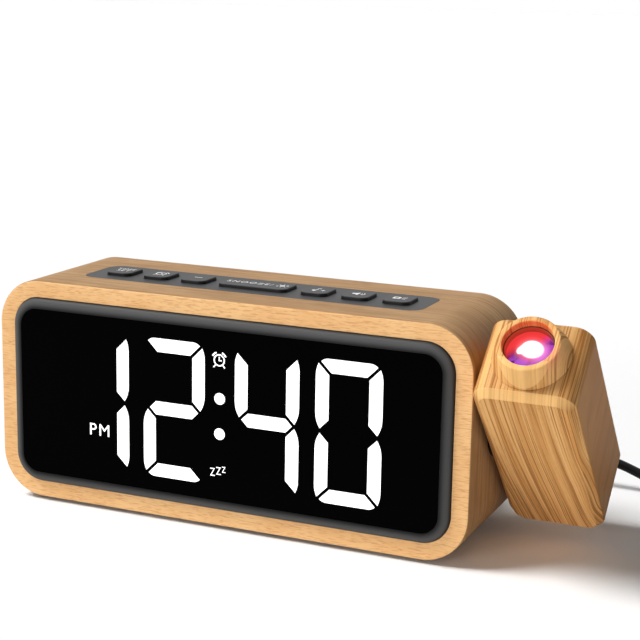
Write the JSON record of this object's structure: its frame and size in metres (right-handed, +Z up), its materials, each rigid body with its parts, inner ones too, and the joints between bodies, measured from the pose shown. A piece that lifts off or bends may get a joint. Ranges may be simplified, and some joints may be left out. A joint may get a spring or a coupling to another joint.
{
  "type": "projection alarm clock",
  "caption": "Wooden-cased alarm clock with a large digit display, keys on top and a tilting time projector on its right side.",
  "frame": {"origin": "on the table, under the middle of the clock with its projector as stored, its cord left out", "axes": "+Z up; -Y the display's front; +X the projector's side, on the right as seen from the front"},
  "size_m": [0.2794, 0.1186, 0.0843],
  "materials": {
    "case_wood": "matt beech-coloured veneer, browner on the top and sides",
    "striped_wood": "satin wood with strong brown stripes",
    "black_satin": "satin black",
    "black_gloss": "gloss black",
    "lit_white": "glowing white",
    "white_plastic": "white",
    "grey_plastic": "dark grey, fine grained",
    "grey_keys": "dark grey, satin",
    "board_green": "green lacquer",
    "led_body": "ivory",
    "led_red": "red",
    "speaker_steel": "grey lacquer",
    "gold_contact": "polished",
    "bright_steel": "bright",
    "black_rubber": "matt black",
    "wire_red": "red insulation",
    "clear_lens": "clear, coated",
    "mask_film": "smoky film",
    "cord_black": "soft black plastic"
  },
  "bodies": {
    "case": {"wood_case": "case_wood", "front_bezel": "black_satin", "display_window": "black_gloss", "lit_segments": "lit_white", "unlit_segments": "black_gloss", "reflector": "white_plastic", "display_board": "board_green", "display_leds": "led_body", "display_screws": "bright_steel", "main_board": "board_green", "board_chips": "black_satin", "main_screws": "bright_steel", "top_panel": "grey_plastic", "panel_screws": "bright_steel", "key_board": "board_green", "key_screws": "bright_steel", "key_switches": "black_satin", "rear_cover": "black_satin", "rear_screws": "bright_steel", "speaker": "speaker_steel", "dc_jack": "black_satin", "battery_bay": "black_satin", "battery_contact": "gold_contact", "coin_cell": "bright_steel", "battery_door": "black_satin", "battery_screw": "bright_steel", "feet": "black_rubber", "pivot_bush": "black_satin", "bush_nut": "black_satin", "spring_washer": "bright_steel", "dc_plug": "cord_black", "cord_run": "cord_black", "cord_coil": "cord_black", "cord_tail": "cord_black", "coil_tie": "cord_black", "usb_plug": "cord_black", "usb_shell": "bright_steel"},
    "projector": {"pivot_shaft": "black_satin", "retaining_clip": "bright_steel", "projector_wires": "wire_red", "projector_housing": "striped_wood", "side_cover": "striped_wood", "side_screws": "bright_steel", "projector_board": "board_green", "projector_led": "led_red", "light_tube": "black_satin", "condenser_lens": "clear_lens", "time_mask": "mask_film", "lens_neck": "black_satin"},
    "focus_ring": {"focus_ring": "striped_wood"},
    "lens": {"lens_cell": "black_satin", "projection_lens": "clear_lens"},
    "time_key": {"time_key": "grey_keys"},
    "alarm_key": {"alarm_key": "grey_keys"},
    "minus_key": {"minus_key": "grey_keys"},
    "snooze_key": {"snooze_key": "grey_keys"},
    "plus_key": {"plus_key": "grey_keys"},
    "volume_key": {"volume_key": "grey_keys"},
    "projector_key": {"projector_key": "grey_keys"}
  },
  "joints": [
    {"name": "projector_tilt", "type": "hinge", "parent": "case", "child": "projector", "pos_m": [0.08825, 0.0011, 0.0422], "axis": [1, 0, 0], "range_deg": [-133, 47]},
    {"name": "focus_turn", "type": "hinge", "parent": "projector", "child": "focus_ring", "pos_m": [0.08825, -0.02547, 0.07246], "axis": [0, -0.682, 0.7314], "range_deg": [-91, 91]},
    {"name": "lens_slide", "type": "slide", "parent": "projector", "child": "lens", "axis": [0, -0.682, 0.7314], "range_m": [-0.001, 0.001]},
    {"name": "time_press", "type": "slide", "parent": "case", "child": "time_key", "axis": [0, 0, -1], "range_m": [0, 0.0008], "stiffness_N_per_m": 500, "springref_m": -0.0004},
    {"name": "alarm_press", "type": "slide", "parent": "case", "child": "alarm_key", "axis": [0, 0, -1], "range_m": [0, 0.0008], "stiffness_N_per_m": 500, "springref_m": -0.0004},
    {"name": "minus_press", "type": "slide", "parent": "case", "child": "minus_key", "axis": [0, 0, -1], "range_m": [0, 0.0008], "stiffness_N_per_m": 500, "springref_m": -0.0004},
    {"name": "snooze_press", "type": "slide", "parent": "case", "child": "snooze_key", "axis": [0, 0, -1], "range_m": [0, 0.0008], "stiffness_N_per_m": 500, "springref_m": -0.0004},
    {"name": "plus_press", "type": "slide", "parent": "case", "child": "plus_key", "axis": [0, 0, -1], "range_m": [0, 0.0008], "stiffness_N_per_m": 500, "springref_m": -0.0004},
    {"name": "volume_press", "type": "slide", "parent": "case", "child": "volume_key", "axis": [0, 0, -1], "range_m": [0, 0.0008], "stiffness_N_per_m": 500, "springref_m": -0.0004},
    {"name": "projector_press", "type": "slide", "parent": "case", "child": "projector_key", "axis": [0, 0, -1], "range_m": [0, 0.0008], "stiffness_N_per_m": 500, "springref_m": -0.0004}
  ],
  "couplings": [
    {"joint": "focus_turn", "follows": "lens_slide", "rad_per_m": 1570.8}
  ]
}
